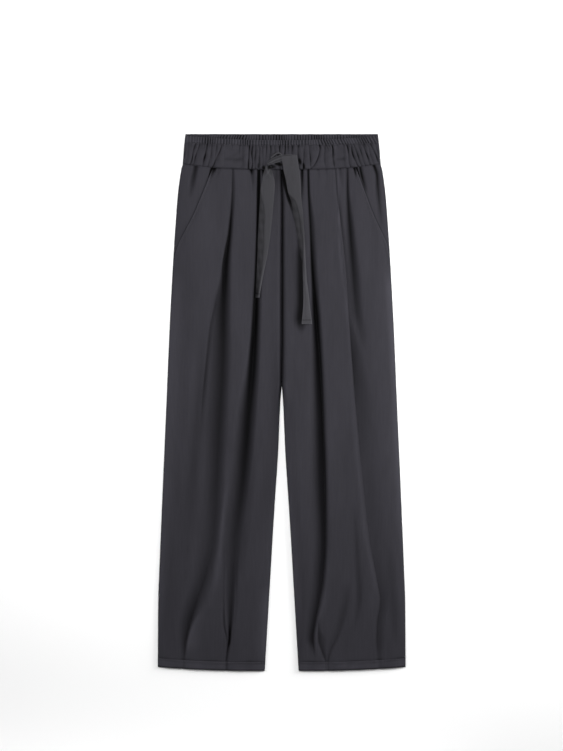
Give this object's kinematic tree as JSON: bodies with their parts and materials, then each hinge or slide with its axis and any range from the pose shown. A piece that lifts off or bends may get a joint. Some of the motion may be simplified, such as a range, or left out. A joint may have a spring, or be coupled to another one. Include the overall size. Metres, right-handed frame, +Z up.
{
  "type": "wide-leg trousers",
  "caption": "Wide-leg pull-on trousers laid flat, with a gathered elastic waist, pleated fronts, slant pockets and a tape drawstring.",
  "frame": {"origin": "middle of the laid garment's outline, on the surface that it lies on", "axes": "+Z up out of the front, +Y towards the waist, -Y towards the hems, +X towards the wearer's left leg"},
  "size_m": [0.4804, 1.0406, 0.0185],
  "materials": {
    "cloth": "smooth dark charcoal woven cloth with a soft dry drape and a faint sheen",
    "tape": "flat folded tape of the same charcoal cloth, a little lighter"
  },
  "bodies": {
    "root": {"front_right": "cloth", "front_left": "cloth", "hip_right": "cloth", "hip_left": "cloth", "back_right": "cloth", "back_left": "cloth", "waistband_front": "cloth", "waistband_back": "cloth", "hem_front_right": "cloth", "hem_front_left": "cloth", "hem_back_right": "cloth", "hem_back_left": "cloth", "drawstring_knot": "tape", "drawstring_right": "tape", "drawstring_left": "tape"}
  },
  "joints": []
}
